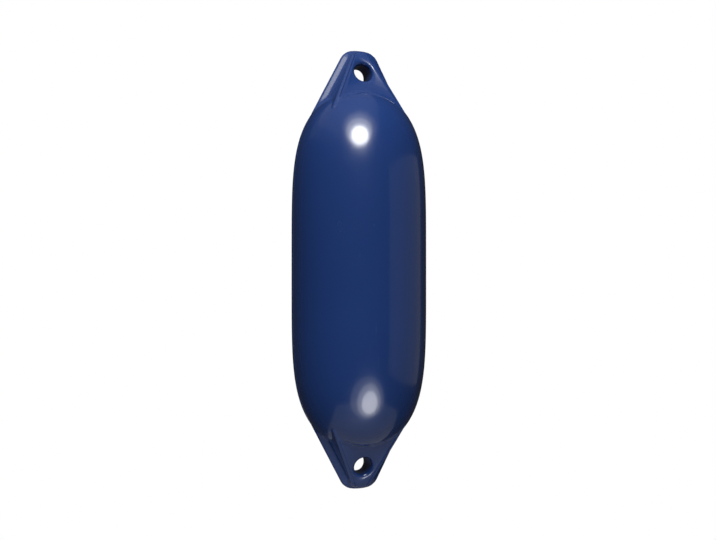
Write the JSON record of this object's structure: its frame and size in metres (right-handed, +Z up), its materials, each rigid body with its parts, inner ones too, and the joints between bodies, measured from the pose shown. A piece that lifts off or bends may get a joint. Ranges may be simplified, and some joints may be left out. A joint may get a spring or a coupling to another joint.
{
  "type": "boat fender",
  "caption": "Inflatable cylindrical boat fender in navy vinyl with domed ends and a moulded eye at each end for a line.",
  "frame": {"origin": "centre of the upper eye's hole, from which the fender hangs", "axes": "+Z up along the fender's length, Y along the holes of both eyes, X across the eyes in the mould's parting plane"},
  "size_m": [0.1508, 0.15, 0.49],
  "materials": {
    "vinyl": "gloss",
    "valve_plastic": "satin"
  },
  "bodies": {
    "root": {"fender_body": "vinyl", "valve_plug": "valve_plastic"}
  },
  "joints": []
}
